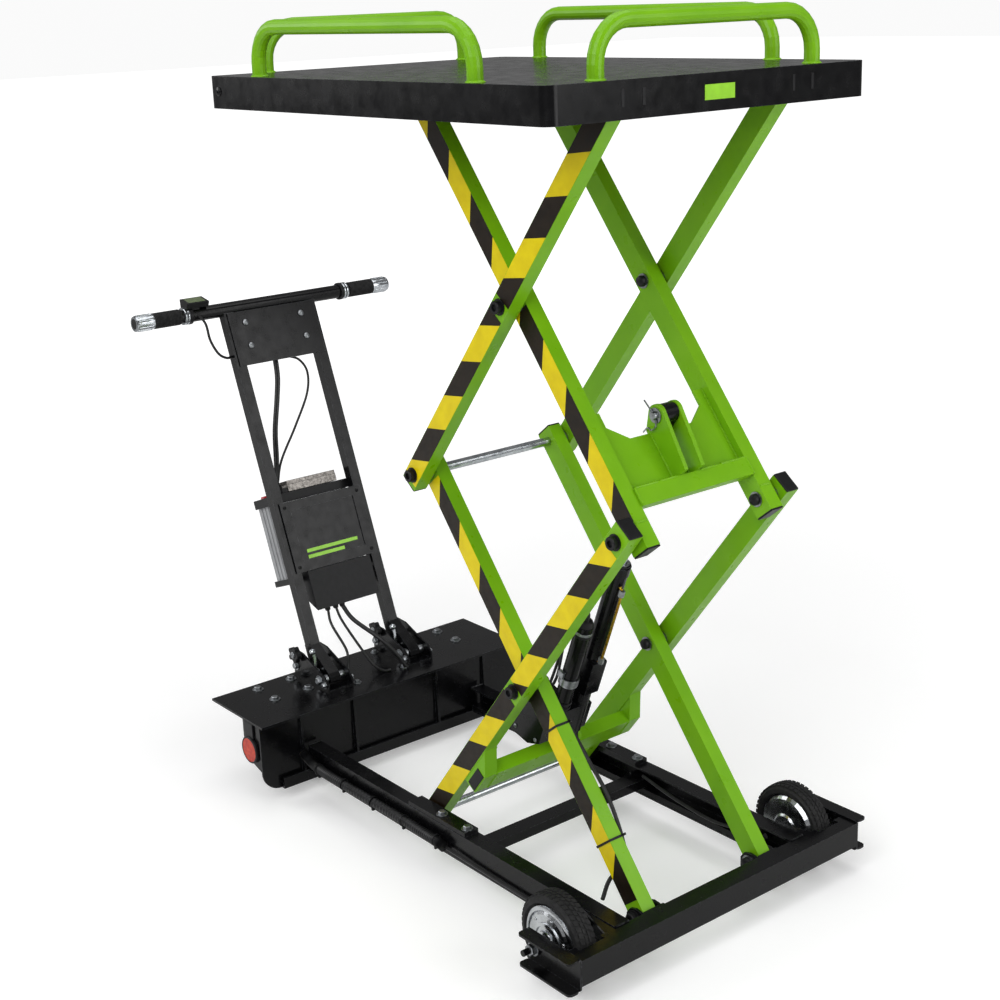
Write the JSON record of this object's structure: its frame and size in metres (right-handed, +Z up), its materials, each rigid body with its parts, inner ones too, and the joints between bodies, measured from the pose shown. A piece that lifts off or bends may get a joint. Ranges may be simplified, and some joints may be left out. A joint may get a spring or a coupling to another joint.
{
  "type": "scissor lift table",
  "caption": "Self-propelled scissor lift table with stacked crossed-arm stages, a railed tray deck, hub-motor wheels, rear casters and an upright folding steering handle.",
  "frame": {"origin": "floor level under the middle of the whole object's bounding box, deck raised", "axes": "+Z up, +X towards the hub wheels, -X towards the steering handle"},
  "size_m": [1.51, 0.784, 1.657],
  "materials": {
    "green_paint": "gloss",
    "black_paint": "gloss",
    "black_plastic": "satin",
    "tyre_rubber": "matte",
    "grip_rubber": "matte",
    "hub_aluminium": "polished",
    "bright_plating": "polished",
    "grey_anodised": "satin",
    "lamp_lens": "gloss",
    "red_plastic": "gloss"
  },
  "bodies": {
    "chassis": {"rail_near": "black_paint", "rail_far": "black_paint", "front_crossbar": "black_paint", "mid_crossmember": "black_paint", "axle_bracket_near": "black_paint", "axle_bracket_far": "black_paint", "rear_box": "black_paint", "side_lamp_near": "lamp_lens", "side_lamp_far": "lamp_lens", "fold_bracket_near": "black_paint", "fold_bracket_far": "black_paint"},
    "hub_wheel_near": {"hub_near": "hub_aluminium", "tyre_near": "tyre_rubber"},
    "hub_wheel_far": {"hub_far": "hub_aluminium", "tyre_far": "tyre_rubber"},
    "caster_near": {"caster_fork_near": "bright_plating"},
    "caster_far": {"caster_fork_far": "bright_plating"},
    "caster_roll_near": {"caster_wheel_near": "tyre_rubber"},
    "caster_roll_far": {"caster_wheel_far": "tyre_rubber"},
    "lower_inner": {"lower_inner_arm_near": "green_paint", "lower_inner_arm_far": "green_paint", "tie_shaft_middle": "bright_plating"},
    "lower_outer": {"lower_outer_arm_near": "green_paint", "lower_outer_arm_far": "green_paint", "lower_crossbeam": "green_paint", "tie_shaft_bottom": "bright_plating"},
    "upper_inner": {"upper_inner_arm_near": "green_paint", "upper_inner_arm_far": "green_paint", "upper_crossbeam": "green_paint"},
    "upper_outer": {"upper_outer_arm_near": "green_paint", "upper_outer_arm_far": "green_paint"},
    "chassis_rollers_near": {"chassis_roller_near": "black_plastic"},
    "chassis_rollers_far": {"chassis_roller_far": "black_plastic"},
    "deck_rollers_near": {"deck_roller_near": "black_plastic"},
    "deck_rollers_far": {"deck_roller_far": "black_plastic"},
    "deck": {"deck_pan": "black_paint", "hoop_near": "green_paint", "hoop_far": "green_paint", "hoop_front": "green_paint", "hoop_rear": "green_paint", "deck_channel_near": "black_paint", "deck_channel_far": "black_paint", "deck_lug_near": "black_paint", "deck_lug_far": "black_paint"},
    "actuator_cylinder": {"actuator_body": "black_paint", "actuator_motor": "black_paint"},
    "actuator_piston": {"actuator_rod": "black_paint"},
    "handle": {"handle_frame": "black_paint", "handle_upper_plate": "black_paint", "handle_lower_plate": "black_paint", "controller_box": "black_plastic", "battery": "grey_anodised", "display_pod": "black_plastic"},
    "throttle": {"throttle_grip": "grip_rubber"},
    "power_switch": {"battery_switch": "red_plastic"},
    "knob_near": {"star_knob_near": "black_plastic"},
    "knob_far": {"star_knob_far": "black_plastic"},
    "lever_near": {"lock_lever_near": "bright_plating"},
    "lever_far": {"lock_lever_far": "bright_plating"}
  },
  "joints": [
    {"name": "lift_pivot", "type": "hinge", "parent": "chassis", "child": "lower_inner", "pos_m": [0.688, 0, 0.089], "axis": [0, 1, 0], "range_deg": [-45, 0]},
    {"name": "lower_cross_pivot", "type": "hinge", "parent": "lower_inner", "child": "lower_outer", "pos_m": [0.40202, 0, 0.4493], "axis": [0, 1, 0], "range_deg": [0, 90]},
    {"name": "front_knuckle", "type": "hinge", "parent": "lower_outer", "child": "upper_inner", "pos_m": [0.688, 0, 0.8096], "axis": [0, 1, 0], "range_deg": [-90, 0]},
    {"name": "upper_cross_pivot", "type": "hinge", "parent": "upper_inner", "child": "upper_outer", "pos_m": [0.40202, 0, 1.1699], "axis": [0, 1, 0], "range_deg": [0, 90]},
    {"name": "deck_pivot", "type": "hinge", "parent": "upper_outer", "child": "deck", "pos_m": [0.688, 0, 1.5302], "axis": [0, 1, 0], "range_deg": [-45, 0]},
    {"name": "actuator_base_pivot", "type": "hinge", "parent": "lower_outer", "child": "actuator_cylinder", "pos_m": [0.317, 0, 0.266], "axis": [0, 1, 0], "range_deg": [0, 2]},
    {"name": "actuator_extension", "type": "slide", "parent": "actuator_cylinder", "child": "actuator_piston", "axis": [0.3723, 0, 0.9281], "range_m": [-0.268, 0]},
    {"name": "chassis_roller_spin_near", "type": "hinge", "parent": "lower_outer", "child": "chassis_rollers_near", "pos_m": [0.11604, -0.225, 0.089], "axis": [0, 1, 0], "continuous": true},
    {"name": "deck_roller_spin_near", "type": "hinge", "parent": "upper_inner", "child": "deck_rollers_near", "pos_m": [0.11604, -0.181, 1.5302], "axis": [0, 1, 0], "continuous": true},
    {"name": "hub_wheel_spin_near", "type": "hinge", "parent": "chassis", "child": "hub_wheel_near", "pos_m": [0.636, -0.309, 0.084], "axis": [0, 1, 0], "continuous": true},
    {"name": "caster_swivel_near", "type": "hinge", "parent": "chassis", "child": "caster_near", "pos_m": [-0.435, -0.211, 0.17], "axis": [0, 0, 1], "continuous": true},
    {"name": "caster_wheel_spin_near", "type": "hinge", "parent": "caster_near", "child": "caster_roll_near", "pos_m": [-0.399, -0.211, 0.07], "axis": [0, 1, 0], "continuous": true},
    {"name": "star_knob_turn_near", "type": "hinge", "parent": "chassis", "child": "knob_near", "pos_m": [-0.464, -0.155, 0.25], "axis": [0, 1, 0], "continuous": true},
    {"name": "lock_lever_swing_near", "type": "hinge", "parent": "chassis", "child": "lever_near", "pos_m": [-0.413, -0.134, 0.216], "axis": [0, 1, 0], "range_deg": [-25, 5]},
    {"name": "chassis_roller_spin_far", "type": "hinge", "parent": "lower_outer", "child": "chassis_rollers_far", "pos_m": [0.11604, 0.225, 0.089], "axis": [0, 1, 0], "continuous": true},
    {"name": "deck_roller_spin_far", "type": "hinge", "parent": "upper_inner", "child": "deck_rollers_far", "pos_m": [0.11604, 0.181, 1.5302], "axis": [0, 1, 0], "continuous": true},
    {"name": "hub_wheel_spin_far", "type": "hinge", "parent": "chassis", "child": "hub_wheel_far", "pos_m": [0.636, 0.309, 0.084], "axis": [0, 1, 0], "continuous": true},
    {"name": "caster_swivel_far", "type": "hinge", "parent": "chassis", "child": "caster_far", "pos_m": [-0.435, 0.211, 0.17], "axis": [0, 0, 1], "continuous": true},
    {"name": "caster_wheel_spin_far", "type": "hinge", "parent": "caster_far", "child": "caster_roll_far", "pos_m": [-0.399, 0.211, 0.07], "axis": [0, 1, 0], "continuous": true},
    {"name": "star_knob_turn_far", "type": "hinge", "parent": "chassis", "child": "knob_far", "pos_m": [-0.464, 0.069, 0.25], "axis": [0, 1, 0], "continuous": true},
    {"name": "lock_lever_swing_far", "type": "hinge", "parent": "chassis", "child": "lever_far", "pos_m": [-0.413, 0.09, 0.216], "axis": [0, 1, 0], "range_deg": [-25, 5]},
    {"name": "handle_fold", "type": "hinge", "parent": "chassis", "child": "handle", "pos_m": [-0.38, 0, 0.208], "axis": [0, 1, 0], "range_deg": [-12, 22]},
    {"name": "throttle_twist", "type": "hinge", "parent": "handle", "child": "throttle", "pos_m": [-0.738, -0.284, 1.01247], "axis": [0, 1, 0], "range_deg": [0, 60], "stiffness_Nm_per_rad": 0.2},
    {"name": "power_switch_press", "type": "slide", "parent": "handle", "child": "power_switch", "axis": [0.3491, 0, -0.9371], "range_m": [0, 0.0008]}
  ],
  "couplings": [
    {"joint": "lower_cross_pivot", "follows": "lift_pivot", "ratio": -2},
    {"joint": "front_knuckle", "follows": "lift_pivot", "ratio": 2},
    {"joint": "upper_cross_pivot", "follows": "lift_pivot", "ratio": -2},
    {"joint": "deck_pivot", "follows": "lift_pivot", "ratio": 1},
    {"joint": "actuator_base_pivot", "follows": "lift_pivot", "ratio": -0.04163},
    {"joint": "actuator_extension", "follows": "lift_pivot", "m_per_rad": 0.3403}
  ]
}
